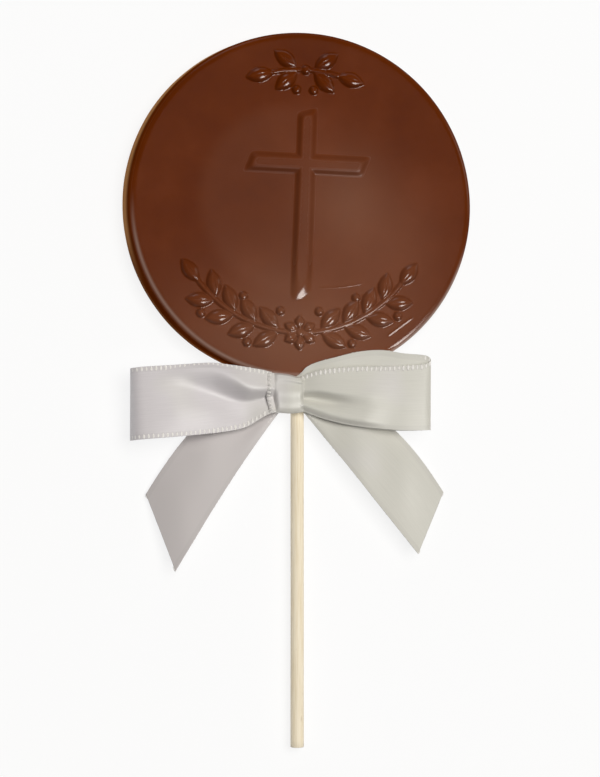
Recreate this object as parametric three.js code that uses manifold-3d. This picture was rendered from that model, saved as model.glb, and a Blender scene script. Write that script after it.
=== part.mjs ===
// A moulded chocolate lollipop on a wooden stick, tied with a satin ribbon bow.
// Millimetres. It lies on its back: the face looks up +Z, the stick points to -Y,
// and the origin is the centre of the disc's flat back.

import * as THREE from 'three';
import { mergeVertices } from 'three/addons/utils/BufferGeometryUtils.js';
import Module from 'manifold-3d';

const wasm = await Module();
wasm.setup();

// Driving dimensions
const DISC = {
  radius: 45,
  wallRadius: 44.35,
  draft: 0.2,
  thickness: 9,
  lipHeight: 1.2,
  backRounding: 0.3,
  edgeRounding: 1.4,
  segments: 96,
};
const DISH = { x: -2, y: 0.9, radius: 25.2, depth: 0.45, slopeWidth: 1.4 };
const CROSS = {
  x: 1.3,
  y: 10.2,
  turnDegrees: -2.1,
  barWidth: 4.3,
  crestWidth: 2.9,
  relief: 1.25,
  rise: 13.2,
  drop: 34.1,
  armReach: 15.3,
  shaftSlant: 1.1,
  armSlant: 2.1,
};
const SPRAY = {
  stemWidth: 1.0,
  stemRelief: 0.7,
  leafLength: 6.9,
  leafWidth: 3.3,
  leafRelief: 1.15,
  leafOffset: 0.5,
  splayDegrees: 37,
  pitch: 5.1,
  berryRadius: 1.1,
};
const LOWER_SPRAY = { radius: 33.3, centreDegrees: 269.5, start: 5.4, pairs: 5, petals: 6 };
const UPPER_SPRAY = { radius: 34.4, centreDegrees: 87.8, start: 2.2, pairs: 1, petals: 0 };
const ROSETTE = { petalLength: 3.5, petalWidth: 2.5, petalRelief: 1.0, berryRadius: 1.2 };
const STICK = { radius: 1.73, axisZ: 3.5, farEnd: -140, insideDisc: 28, chamfer: 0.2 };
const KNOT = { x: -3.15, y: -49.3, z: 6.4, width: 7.6, height: 9.2, depth: 7.6, roundness: 2.6 };
const STRAP = { radius: 2.65, height: 7.8 };
const RIBBON = { thickness: 0.5 };

// Running gap between pieces, and how deep relief is rooted in the disc
const GAP = 0.3;
const ROOT = 0.8;

// Small helpers

const degrees = THREE.MathUtils.degToRad;
const mix = THREE.MathUtils.lerp;
const smooth = THREE.MathUtils.smoothstep;

// A point on a circle about the disc's centre
function onCircle(radius, angle) {
  return new THREE.Vector2(radius * Math.cos(angle), radius * Math.sin(angle));
}

// A 2-D outline moved, turned and set at one height
function placed(outline, x, y, turn, z) {
  const centre = new THREE.Vector2(0, 0);
  const offset = new THREE.Vector2(x, y);
  return outline.map((point) => {
    const p = point.clone().rotateAround(centre, turn).add(offset);
    return new THREE.Vector3(p.x, p.y, z);
  });
}

// A closed skin over rings with equal numbers of points, with both ends shut
function loft(rings) {
  const count = rings[0].length;
  const positions = rings.flat().flatMap((p) => [p.x, p.y, p.z]);
  const faces = [];
  for (let ring = 0; ring + 1 < rings.length; ring += 1) {
    for (let i = 0; i < count; i += 1) {
      const a = ring * count + i;
      const b = ring * count + (i + 1) % count;
      faces.push(a, b, b + count, a, b + count, a + count);
    }
  }
  const last = (rings.length - 1) * count;
  for (let i = 0; i < count / 2 - 1; i += 1) {
    const near = [i, i + 1, count - 2 - i, count - 1 - i];
    const [a, b, c, d] = near;
    faces.push(a, c, b, a, d, c);
    const [e, f, g, h] = near.map((index) => last + index);
    faces.push(e, f, g, e, g, h);
  }
  const geometry = new THREE.BufferGeometry();
  geometry.setAttribute('position', new THREE.Float32BufferAttribute(positions, 3));
  geometry.setIndex(faces);
  return geometry;
}

// Six times the signed volume: negative when the faces point inwards
function signedVolume(geometry) {
  const position = geometry.getAttribute('position');
  const index = geometry.getIndex();
  const corners = [new THREE.Vector3(), new THREE.Vector3(), new THREE.Vector3()];
  let sum = 0;
  for (let i = 0; i < index.count; i += 3) {
    corners.forEach((corner, k) => corner.fromBufferAttribute(position, index.getX(i + k)));
    sum += corners[0].dot(corners[1].cross(corners[2]));
  }
  return sum;
}

// A closed geometry as a solid for joining and cutting
function solid(geometry) {
  const bare = geometry.clone();
  bare.deleteAttribute('normal');
  bare.deleteAttribute('uv');
  const merged = mergeVertices(bare, 1e-5);
  const triVerts = Uint32Array.from(merged.getIndex().array);
  if (signedVolume(merged) < 0) {
    triVerts.reverse();
  }
  const vertProperties = Float32Array.from(merged.getAttribute('position').array);
  return new wasm.Manifold(new wasm.Mesh({ numProp: 3, vertProperties, triVerts }));
}

function joined(solids) {
  return solids.reduce((whole, next) => whole.add(next));
}

function meshOf(name, shape, material) {
  const result = shape.getMesh();
  const geometry = new THREE.BufferGeometry();
  geometry.setAttribute('position', new THREE.BufferAttribute(result.vertProperties, 3));
  geometry.setIndex(new THREE.BufferAttribute(result.triVerts, 1));
  geometry.computeVertexNormals();
  const mesh = new THREE.Mesh(geometry, material);
  mesh.name = name;
  return mesh;
}

// Chocolate disc: a lipped back, a drafted wall and a rounded front edge

function discBody() {
  const top = DISC.thickness;
  const bend = DISC.edgeRounding;
  const frontRadius = DISC.wallRadius - DISC.draft;
  const profile = [
    new THREE.Vector2(0, 0),
    new THREE.Vector2(DISC.radius - DISC.backRounding, 0),
    new THREE.Vector2(DISC.radius, DISC.backRounding),
    new THREE.Vector2(DISC.radius, DISC.lipHeight),
    new THREE.Vector2(DISC.wallRadius, DISC.lipHeight + DISC.backRounding),
  ];
  const bendSteps = 5;
  for (let step = 0; step <= bendSteps; step += 1) {
    const angle = (step / bendSteps) * Math.PI / 2;
    const radius = frontRadius - bend + bend * Math.cos(angle);
    profile.push(new THREE.Vector2(radius, top - bend + bend * Math.sin(angle)));
  }
  profile.push(new THREE.Vector2(0, top));
  return new THREE.LatheGeometry(profile, DISC.segments).rotateX(Math.PI / 2);
}

// The shallow dish that the cross stands in, as the body cut out of the face
function dishCutter() {
  const floor = DISC.thickness - DISH.depth;
  const above = DISC.thickness + ROOT;
  const profile = [
    new THREE.Vector2(0, floor),
    new THREE.Vector2(DISH.radius - DISH.slopeWidth, floor),
    new THREE.Vector2(DISH.radius, DISC.thickness),
    new THREE.Vector2(DISH.radius, above),
    new THREE.Vector2(0, above),
  ];
  return new THREE.LatheGeometry(profile, 64).rotateX(Math.PI / 2).translate(DISH.x, DISH.y, 0);
}

// One bar of the cross, with bevelled sides and parallel slanted ends
function crossBar(low, high, isShaft) {
  const floor = DISC.thickness - DISH.depth;
  const crest = floor + CROSS.relief;
  const bevel = (CROSS.barWidth - CROSS.crestWidth) / 2;
  const slant = (isShaft ? CROSS.shaftSlant : CROSS.armSlant) / CROSS.barWidth;
  const outline = (width, inset) => {
    const half = width / 2;
    const shift = half * slant;
    const corners = [
      [low + inset - shift, -half],
      [high - inset - shift, -half],
      [high - inset + shift, half],
      [low + inset + shift, half],
    ];
    return corners.map(([along, across]) => (isShaft
      ? new THREE.Vector2(across, along)
      : new THREE.Vector2(along, across)));
  };
  const turn = degrees(CROSS.turnDegrees);
  const ring = (width, inset, z) => placed(outline(width, inset), CROSS.x, CROSS.y, turn, z);
  return loft([
    ring(CROSS.barWidth, 0, floor - ROOT),
    ring(CROSS.barWidth, 0, floor),
    ring(CROSS.crestWidth, bevel, crest),
  ]);
}

// A pointed leaf as a low mound, its stalk end at x, y
function leafMound(x, y, turn, length, width, relief) {
  const points = 12;
  const outline = (scale) => Array.from({ length: points }, (_, i) => {
    const angle = (i / points) * 2 * Math.PI;
    const side = Math.sin(angle) * Math.abs(Math.sin(angle));
    return new THREE.Vector2(
      (length / 2) * (1 + scale * Math.cos(angle)),
      (width / 2) * scale * side,
    );
  });
  const face = DISC.thickness;
  const ring = (scale, z) => placed(outline(scale), x, y, turn, z);
  return loft([
    ring(1, face - ROOT),
    ring(1, face),
    ring(0.8, face + 0.65 * relief),
    ring(0.4, face + relief),
  ]);
}

function berry(x, y, radius) {
  return new THREE.SphereGeometry(radius, 10, 8).rotateX(Math.PI / 2)
    .translate(x, y, DISC.thickness);
}

class StemPath extends THREE.Curve {
  constructor(radius, from, to) {
    super();
    this.radius = radius;
    this.from = from;
    this.to = to;
  }

  getPoint(t, target = new THREE.Vector3()) {
    const p = onCircle(this.radius, mix(this.from, this.to, t));
    return target.set(p.x, p.y, DISC.thickness);
  }
}

function stem(radius, from, to) {
  const section = new THREE.Shape();
  section.absellipse(0, 0, SPRAY.stemRelief, SPRAY.stemWidth / 2, 0, 2 * Math.PI);
  const steps = Math.ceil(Math.abs(to - from) * radius / 2.2);
  const extrudePath = new StemPath(radius, from, to);
  return new THREE.ExtrudeGeometry(section, { steps, curveSegments: 4, extrudePath });
}

// One side of a spray: leaves in pairs along a curved stem, berries between
function sprayBranch(spray, direction) {
  const { radius } = spray;
  const centre = degrees(spray.centreDegrees);
  const splay = degrees(SPRAY.splayDegrees);
  const pieces = [];
  const angleAt = (distance) => centre + direction * distance / radius;
  for (let pair = 0; pair < spray.pairs; pair += 1) {
    const along = spray.start + pair * SPRAY.pitch;
    const angle = angleAt(along);
    const heading = angle + direction * Math.PI / 2;
    for (const side of [-1, 1]) {
      const root = onCircle(radius + side * SPRAY.leafOffset, angle);
      const turn = heading - direction * side * splay;
      pieces.push(leafMound(root.x, root.y, turn, SPRAY.leafLength, SPRAY.leafWidth, SPRAY.leafRelief));
    }
    const side = pair % 2 ? 1 : -1;
    const fruit = onCircle(radius + side * (SPRAY.leafWidth + SPRAY.berryRadius), angleAt(along + 0.4));
    pieces.push(berry(fruit.x, fruit.y, SPRAY.berryRadius));
  }
  const tip = spray.start + spray.pairs * SPRAY.pitch;
  const end = onCircle(radius, angleAt(tip));
  const heading = angleAt(tip) + direction * Math.PI / 2;
  pieces.push(leafMound(end.x, end.y, heading, SPRAY.leafLength, SPRAY.leafWidth, SPRAY.leafRelief));
  pieces.push(stem(radius, angleAt(0), angleAt(tip + 1)));
  return pieces;
}

function rosette(spray) {
  const centre = onCircle(spray.radius, degrees(spray.centreDegrees));
  const pieces = [berry(centre.x, centre.y, ROSETTE.berryRadius)];
  for (let petal = 0; petal < spray.petals; petal += 1) {
    const turn = degrees(spray.centreDegrees) + (petal / spray.petals) * 2 * Math.PI;
    const root = onCircle(ROSETTE.berryRadius * 0.6, turn).add(centre);
    const { petalLength, petalWidth, petalRelief } = ROSETTE;
    pieces.push(leafMound(root.x, root.y, turn, petalLength, petalWidth, petalRelief));
  }
  return pieces;
}

function ornament(spray) {
  return [...sprayBranch(spray, 1), ...sprayBranch(spray, -1), ...rosette(spray)];
}

// A round bar along Y through the stick's axis
function roundBar(radius, fromY, toY, chamfer) {
  const length = toY - fromY;
  const profile = [
    new THREE.Vector2(0, 0),
    new THREE.Vector2(radius - chamfer, 0),
    new THREE.Vector2(radius, chamfer),
    new THREE.Vector2(radius, length - chamfer),
    new THREE.Vector2(radius - chamfer, length),
    new THREE.Vector2(0, length),
  ];
  return new THREE.LatheGeometry(profile, 32).translate(0, fromY, STICK.axisZ);
}

function chocolateDisc() {
  const shaft = crossBar(-CROSS.drop, CROSS.rise, true);
  const arms = crossBar(-CROSS.armReach, CROSS.armReach, false);
  const relief = [shaft, arms, ...ornament(LOWER_SPRAY), ...ornament(UPPER_SPRAY)];
  const socketStart = -DISC.radius - 1;
  const socketEnd = -DISC.radius + STICK.insideDisc + GAP;
  const socket = roundBar(STICK.radius + GAP, socketStart, socketEnd, STICK.chamfer);
  return solid(discBody())
    .subtract(solid(dishCutter()))
    .add(joined(relief.map(solid)))
    .subtract(solid(socket));
}

function stick() {
  const end = -DISC.radius + STICK.insideDisc;
  return solid(roundBar(STICK.radius, STICK.farEnd, end, STICK.chamfer));
}

// Ribbon bow: one ribbon wrapped round the stick, with two loops and two tails

// A thin strip between two edges, given as functions of the way along it.
// bulge lifts the middle of each cross-section off the straight line between them.
function strip(topEdge, bottomEdge, steps, bulge) {
  const across = 5;
  const middle = (t, v) => topEdge(t).lerp(bottomEdge(t), v);
  const rings = [];
  for (let step = 0; step <= steps; step += 1) {
    const t = step / steps;
    const before = Math.max(0, t - 1e-3);
    const after = Math.min(1, t + 1e-3);
    const along = middle(after, 0.5).sub(middle(before, 0.5));
    const width = bottomEdge(t).sub(topEdge(t));
    const normal = along.cross(width).normalize();
    const side = (v, offset) => {
      const lift = bulge(t) * 4 * v * (1 - v) + offset;
      return middle(t, v).addScaledVector(normal, lift);
    };
    const half = RIBBON.thickness / 2;
    const upper = Array.from({ length: across }, (_, i) => side(i / (across - 1), half));
    const lower = Array.from({ length: across }, (_, i) => side(1 - i / (across - 1), -half));
    rings.push([...upper, ...lower]);
  }
  return loft(rings);
}

// A loop runs out from the knot, folds over and comes back behind itself.
// front and back give the heights of the top and bottom edges over the surface,
// rise lifts each layer along +Y, and width is that of the layer seen from above.
const LEFT_LOOP = {
  side: -1,
  reach: 39.5,
  drop: -3.0,
  knotZ: 7.2,
  front: { top: 11.2, bottom: 11.6, rise: 0, width: 18.3, knotWidth: 8.6 },
  back: { top: 5.6, bottom: 4.4, rise: -1.5, width: 17.6, knotWidth: 6.4 },
  bulge: 0.5,
};
const RIGHT_LOOP = {
  side: 1,
  reach: 37,
  drop: -1.2,
  knotZ: 8.6,
  front: { top: 14.2, bottom: 10.6, rise: -0.2, width: 16.4, knotWidth: 7.0 },
  back: { top: 10.6, bottom: 7.4, rise: 2.4, width: 17.6, knotWidth: 6.4 },
  bulge: 0.9,
};
const FOLD_SHARPNESS = 12;
const SPREAD_LENGTH = 19;

// One edge of a loop: sign is 1 for the top edge and -1 for the bottom edge
function loopEdge(loop, sign) {
  const level = sign > 0 ? 'top' : 'bottom';
  const middleZ = (loop.front[level] + loop.back[level]) / 2;
  const opening = (loop.front[level] - loop.back[level]) / 2;
  return (t) => {
    const s = 2 * t - 1;
    const reachShare = 1 - s * s;
    const distance = loop.reach * reachShare;
    const spread = smooth(distance, 0, SPREAD_LENGTH);
    const backShare = smooth(s, -0.3, 0.3);
    const share = (key) => mix(loop.front[key], loop.back[key], backShare);
    const width = mix(share('knotWidth'), share('width'), spread);
    const open = Math.sign(s) * Math.sqrt(1 - reachShare ** FOLD_SHARPNESS);
    const y = KNOT.y + 0.4 + loop.drop * reachShare + share('rise') * spread + sign * width / 2;
    const rest = loop.knotZ - Math.sign(s) * 0.4;
    const z = mix(rest, middleZ - open * opening, smooth(distance, -4, SPREAD_LENGTH));
    return new THREE.Vector3(KNOT.x + loop.side * (distance + 1), y, z);
  };
}

function ribbonLoop(loop) {
  const bulge = (t) => -loop.side * loop.bulge * Math.sin(Math.PI * Math.min(1, 2 * t));
  return strip(loopEdge(loop, 1), loopEdge(loop, -1), 40, bulge);
}

// A tail fans out from under the knot and ends in one slanted cut
const LEFT_TAIL = {
  inner: [[-4, -52.4, 4.6], [-16, -68, 4.6], [-24, -81, 7.4], [-31.9, -94.3, 6.2]],
  outer: [[-4, -47.0, 3.6], [-17, -46.4, 3.0], [-27, -57, 1.0], [-39, -74.7, 1.2]],
};
const RIGHT_TAIL = {
  inner: [[-0.6, -51.6, 6.6], [10, -64, 5.6], [21, -78, 7.6], [31.3, -90.3, 6.2]],
  outer: [[-0.6, -47.0, 6.4], [12, -46.2, 3.6], [25, -53.4, 1.0], [39, -74.4, 1.2]],
};

function ribbonTail(tail, side) {
  const edge = (points) => {
    const curve = new THREE.CubicBezierCurve3(...points.map((p) => new THREE.Vector3(...p)));
    return (t) => curve.getPoint(t);
  };
  return strip(edge(tail.inner), edge(tail.outer), 12, (t) => -side * 0.8 * t);
}

// The gathered band in front of the stick: a soft pillow with flat ends
function knotBand() {
  const points = 20;
  const ring = (x, scale) => Array.from({ length: points }, (_, i) => {
    const angle = (i / points) * 2 * Math.PI;
    const power = 2 / KNOT.roundness;
    const c = Math.cos(angle);
    const s = Math.sin(angle);
    const y = KNOT.y + scale * (KNOT.height / 2) * Math.sign(c) * Math.abs(c) ** power;
    const z = KNOT.z + scale * (KNOT.depth / 2) * Math.sign(s) * Math.abs(s) ** power;
    return new THREE.Vector3(x, y, z);
  });
  const left = KNOT.x - KNOT.width / 2;
  const right = KNOT.x + KNOT.width / 2;
  const shoulder = 0.6;
  return loft([ring(left, 0.9), ring(left + shoulder, 1), ring(right - shoulder, 1), ring(right, 0.9)]);
}

function ribbonBow() {
  const low = KNOT.y - STRAP.height / 2;
  const high = KNOT.y + STRAP.height / 2;
  const strap = roundBar(STRAP.radius, low, high, STICK.chamfer);
  const bore = roundBar(STICK.radius + GAP, low - 4, high + 4, STICK.chamfer);
  const pieces = [
    knotBand(),
    strap,
    ribbonLoop(LEFT_LOOP),
    ribbonLoop(RIGHT_LOOP),
    ribbonTail(LEFT_TAIL, -1),
    ribbonTail(RIGHT_TAIL, 1),
  ];
  return joined(pieces.map(solid)).subtract(solid(bore));
}

// The finished part

const chocolate = new THREE.MeshStandardMaterial({ color: '#6b3a24', roughness: 0.35, metalness: 0 });
const paleWood = new THREE.MeshStandardMaterial({ color: '#e4d6b4', roughness: 0.7, metalness: 0 });
const whiteSatin = new THREE.MeshStandardMaterial({ color: '#d9d7d6', roughness: 0.4, metalness: 0 });

const lollipop = new THREE.Group();
lollipop.add(meshOf('chocolate_disc', chocolateDisc(), chocolate));
lollipop.add(meshOf('stick', stick(), paleWood));
lollipop.add(meshOf('ribbon_bow', ribbonBow(), whiteSatin));

export default lollipop;
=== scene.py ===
import math

import bpy
import numpy as np
from mathutils import Matrix, Vector
from mathutils.geometry import delaunay_2d_cdt


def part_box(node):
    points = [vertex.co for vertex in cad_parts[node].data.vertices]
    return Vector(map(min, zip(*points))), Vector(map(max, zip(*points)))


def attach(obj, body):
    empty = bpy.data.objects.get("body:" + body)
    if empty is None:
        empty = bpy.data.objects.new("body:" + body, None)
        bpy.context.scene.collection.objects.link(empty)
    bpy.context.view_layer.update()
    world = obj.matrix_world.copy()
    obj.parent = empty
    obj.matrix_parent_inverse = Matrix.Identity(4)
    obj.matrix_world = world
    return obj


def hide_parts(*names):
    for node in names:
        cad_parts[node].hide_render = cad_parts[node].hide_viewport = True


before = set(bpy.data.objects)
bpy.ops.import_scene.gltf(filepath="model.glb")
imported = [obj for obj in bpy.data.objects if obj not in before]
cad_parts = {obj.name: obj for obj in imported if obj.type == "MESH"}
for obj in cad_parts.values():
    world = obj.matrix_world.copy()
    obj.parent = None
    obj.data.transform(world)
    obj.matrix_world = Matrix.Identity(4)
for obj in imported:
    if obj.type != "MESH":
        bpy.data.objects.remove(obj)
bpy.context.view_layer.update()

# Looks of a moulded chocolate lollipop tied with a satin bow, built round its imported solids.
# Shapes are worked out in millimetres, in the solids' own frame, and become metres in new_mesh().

MM = 0.001


def box_mm(node):
    """Lowest and highest corner of a solid, in millimetres."""
    low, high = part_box(node)
    return np.array(low) / MM, np.array(high) / MM


# Disc. The wall leans a little, so the front's centre is beside the back's.

OUTER_RADIUS = box_mm("chocolate_disc")[1][0]
FRONT_X, FRONT_Y = 0.3, -0.45
BACK_X, BACK_Y = -0.15, -0.25
WALL_RADIUS, FRONT_RADIUS, FACE_Z = 44.75, 44.6, 9.0
LIP_HEIGHT, LIP_SLOPE, BACK_ROUNDING = 1.2, 0.25, 0.3
EDGE_ROUNDING, EDGE_DROP, EDGE_STEPS = 2.1, 1.4, 14
FACE_RADIUS = FRONT_RADIUS - EDGE_ROUNDING
DISH_X, DISH_Y, DISH_RADIUS, DISH_DEPTH = -2.0, 0.9, 25.2, 0.1
DISH_SLOPE_INSIDE, DISH_SLOPE_OUTSIDE = 2.6, 1.4
BROAD_WAVE, FINE_WAVE = 0.06, 0.035
RIM_POINTS = 360

# Cross: a flank runs from the bars' foot up to their shoulder, both as distances inside the outline
CROSS_X, CROSS_Y, CROSS_TURN = 1.3, 10.2, math.radians(-2.1)
BAR_WIDTH, BAR_TAPER, CROSS_RELIEF = 4.0, 0.011, 1.1
BAR_FOOT, BAR_SHOULDER, FLANK_SOFTNESS = -0.5, 0.62, 0.1
BAR_CORNER, CROSSING_CORNER, CREST_SLOPE = 0.4, 0.12, 0.3
SHAFT_END_LENGTH, SHAFT_END_SLANT, SHAFT_END_CROWN = 3.8, 1.9, 0.07
CROSS_RISE, CROSS_DROP = 13.2, 34.1
LEFT_ARM, RIGHT_ARM = 14.4, 15.3
SHAFT_SLANT, ARM_SLANT = 1.1, 1.5

# Sprays of leaves and berries, each along an arc round the origin, with petals round a heart
LEAF_LENGTH, LEAF_WIDTH, LEAF_RELIEF, LEAF_OFFSET = 7.5, 3.9, 1.5, 0.5
MIDRIB_DEPTH, MIDRIB_WIDTH = 0.16, 0.22
SPLAY, PITCH = math.radians(38), 6.1
BERRY_RADIUS, BERRY_SHIFT = 1.2, 0.4
STEM_HALF_WIDTH, STEM_RELIEF, STEM_TIP = 0.65, 0.8, 1
PETAL_LENGTH, PETAL_WIDTH, PETAL_RELIEF, HEART_RADIUS = 3.8, 2.8, 1.5, 1.3
PETAL_START = HEART_RADIUS * 0.6
LOWER_SPRAY = {"radius": 33.3, "centre": math.radians(269.5), "start": 5.6, "pairs": 4, "petals": 6}
UPPER_SPRAY = {"radius": 34.4, "centre": math.radians(87.8), "start": 2.2, "pairs": 1, "petals": 0}
SPRAYS = [LOWER_SPRAY, UPPER_SPRAY]

# A slight ridge on the rim's flat at the lower right, and a hairline under the cross
SCRAPE_FROM, SCRAPE_TO = np.array([22.9, -34.3]), np.array([29.8, -29.2])
SCRAPE_RELIEF, SCRAPE_WIDTH, SCRAPE_SHIFT = 0.15, 0.34, 0.4
CREASE_FROM, CREASE_TO = (4.2, -21.7), (17.6, -20.2)
CREASE_RELIEF, CREASE_WIDTH, CREASE_SAG = 0.08, 0.13, 0.5

# Distance between the face's points on its relief, on plain ground and on the fine line marks,
# and a row's height in their triangular lattice as a share of that
FINE_SPACING, COARSE_SPACING, MARK_SPACING, ROW_SHARE = 0.24, 0.9, 0.11, 0.866

# Stretches of the rim that carry painted light, the lit wall and two highlights: direction and spread
# in degrees, and a gain that evens out a stretch's middle where it is above 1
LIT_WALL_STRETCH, INNER_STRETCH, OUTER_STRETCH = (135, 75, 2.2), (228, 55, 1.6), (-42, 30, 1.5)
# Strengths: the wall's painted light, the lip's paleness for scuffing and the light it catches, and the
# two painted highlights
WALL_LIGHT, LIP_SCUFF_AND_LIGHT, INNER_HIGHLIGHT, OUTER_HIGHLIGHT = 0.85, 0.25, 0.4, 0.75
# The inner painted highlight is a line, and the outer one a band, both measured out from the flat face's
# edge
INNER_LINE, INNER_LINE_WIDTH, OUTER_BAND_START, OUTER_BAND_FULL = 1.15, 0.42, 1.0, 2.0
FLANK_DULLNESS, FLANK_PLACE, FLANK_SPREAD = 0.7, 0.1, 0.9

# Painted reflection haze on the face, pale clouds that stand in for the lights' glow, as
# (x, y, half width, half height, strength), and more painted haze in the dish's left
HAZE_CLOUDS = [(12, 0, 11, 14, 0.3), (0, -34, 30, 17, 0.42), (27, -10, 12, 16, 0.15)]
DISH_HAZE = 0.08

# Stick

STICK_LOW, STICK_HIGH = box_mm("stick")
STICK_RADIUS = (STICK_HIGH[0] - STICK_LOW[0]) / 2
STICK_AXIS_Z = (STICK_LOW[2] + STICK_HIGH[2]) / 2
STICK_CHAMFER, STICK_SIDES, STICK_STATIONS = 0.2, 48, 60

# Ribbon

RIBBON_WIDTH, RIBBON_THICKNESS = 18.4, 0.18
SELVAGE_WIDTH, SELVAGE_OVERHANG = 1.5, 0.1
STITCH_PITCH, STITCH_WIDTH, STITCH_HEIGHT, STITCH_SEED = 1.2, 0.7, 0.4, 7
LOOP_STEPS, LOOP_ARCH, BACK_LIFT_WIDTH = 11, 0.25, 0.22
TAIL_GATHER, TAIL_WAVE_LENGTH, TAIL_WAVE_WIDTH = 0.35, 0.16, 0.5
KNOT_LEFT, KNOT_RIGHT = -8.9, 0.8
KNOT_MIDDLE_Y, KNOT_MIDDLE_Z = -49.0, 6.6
KNOT_CROWN, KNOT_DIP = 0.18, 0.15
KNOT_TOP_DROP, KNOT_FOOT_SHIFT = 1.1, 0.9
EDGE_STRIP_RISE, EDGE_GROOVE = 0.22, 0.4
LEFT_BED_GAP, RIGHT_BED_GAP = 0.1, 0.15
# How far the knot's band bridges the loops' pleats: 0 lies down in them, 1 is taut over them
TAUTNESS = 0.35
STRAP_RADIUS, STRAP_PLEAT, STRAP_TOP, STRAP_FOOT = 2.35, 0.12, -45.5, -53.1

# Where along X the satin's painted tint of light is coolest and warmest, and how far its patches shift
# that
COOL_LIGHT_X, WARM_LIGHT_X, PATCH_SHIFT = -30, 18, 110


# Small helpers for shapes


def mix(a, b, t):
    return a + (b - a) * t


def smooth(x, low, high):
    """0 below low, 1 above high, and a soft S between them."""
    t = np.clip((np.asarray(x, float) - low) / (high - low), 0, 1)
    return t * t * (3 - 2 * t)


def hump(x, centre, width):
    """A soft bell of height 1."""
    return np.exp(-(((x - centre) / width) ** 2))


def soft_min(a, b, k):
    """The smaller of two values, rounded over about k where they meet."""
    return -k * np.logaddexp(-a / k, -b / k)


def turned(x, y, angle):
    """x, y in axes turned by angle."""
    c, s = math.cos(angle), math.sin(angle)
    return x * c + y * s, -x * s + y * c


def on_arc(radius, angle):
    return radius * math.cos(angle), radius * math.sin(angle)


def new_mesh(name, points, faces, edges=()):
    """A mesh from points in millimetres."""
    mesh = bpy.data.meshes.new(name)
    mesh.from_pydata((np.asarray(points) * MM).tolist(), list(edges), [list(map(int, f)) for f in faces])
    mesh.validate()
    return mesh


def in_scene(name, data):
    """A new object in the scene that holds a mesh, a light or a camera."""
    thing = bpy.data.objects.new(name, data)
    bpy.context.scene.collection.objects.link(thing)
    return thing


def new_piece(name, mesh, node=None):
    """A smooth piece that rides on the only body and may stand for a solid."""
    mesh.polygons.foreach_set("use_smooth", np.ones(len(mesh.polygons), bool))
    piece = in_scene(name, mesh)
    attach(piece, "root")
    if node:
        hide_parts(node)
    return piece


def set_point_values(mesh, name, values):
    """Stores a number or a vector for each point, for a node tree to read."""
    values = np.asarray(values, np.float32)
    kind, field = ("FLOAT", "value") if values.ndim == 1 else ("FLOAT_VECTOR", "vector")
    mesh.attributes.new(name, kind, "POINT").data.foreach_set(field, values.ravel())


# Materials

# Sockets of a Mix node by number, as their names repeat: its share, then its colours or numbers
SHARE, COLOUR_A, COLOUR_B, MIXED_COLOUR = 0, 6, 7, 2
NUMBER_A, NUMBER_B, MIXED_NUMBER = 2, 3, 0


def linear(hex_colour):
    """An sRGB hex colour as the linear colour that the shaders take."""
    parts = [int(hex_colour[i : i + 2], 16) / 255 for i in (1, 3, 5)]
    return [c / 12.92 if c <= 0.04045 else ((c + 0.055) / 1.055) ** 2.4 for c in parts] + [1.0]


def add_node(tree, kind, settings=None, values=None, links=None, stops=()):
    """Adds one node: settings are its properties, values its sockets, links what feeds them,
    and stops a ramp's hex colours with their places."""
    node = tree.nodes.new(kind)
    for name, value in (settings or {}).items():
        setattr(node, name, value)
    for socket, value in (values or {}).items():
        node.inputs[socket].default_value = value
    for socket, source in (links or {}).items():
        tree.links.new(source, node.inputs[socket])
    for number, (place, colour) in enumerate(stops):
        elements = node.color_ramp.elements
        element = elements[number] if number < len(elements) else elements.new(place)
        element.position = place
        element.color = linear(colour)
    return node


def new_material(name, values):
    """A material with a Principled shader, its plain sockets set from values."""
    material = bpy.data.materials.new(name)
    material.use_nodes = True
    tree = material.node_tree
    tree.nodes.clear()
    shader = add_node(tree, "ShaderNodeBsdfPrincipled", values=values)
    add_node(tree, "ShaderNodeOutputMaterial", links={"Surface": shader.outputs["BSDF"]})
    return material, tree, shader


def mottling(tree, size, detail, stretch=(1, 1, 1), roughness=0.5):
    """Soft random blotches of about size millimetres that stay fixed to the piece."""
    place = add_node(tree, "ShaderNodeTexCoord")
    mapping = add_node(
        tree,
        "ShaderNodeMapping",
        values={"Scale": stretch},
        links={"Vector": place.outputs["Object"]},
    )
    noise = add_node(
        tree,
        "ShaderNodeTexNoise",
        values={"Scale": 1 / (size * MM), "Detail": detail, "Roughness": roughness},
        links={"Vector": mapping.outputs["Vector"]},
    )
    return noise.outputs["Fac"]


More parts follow.
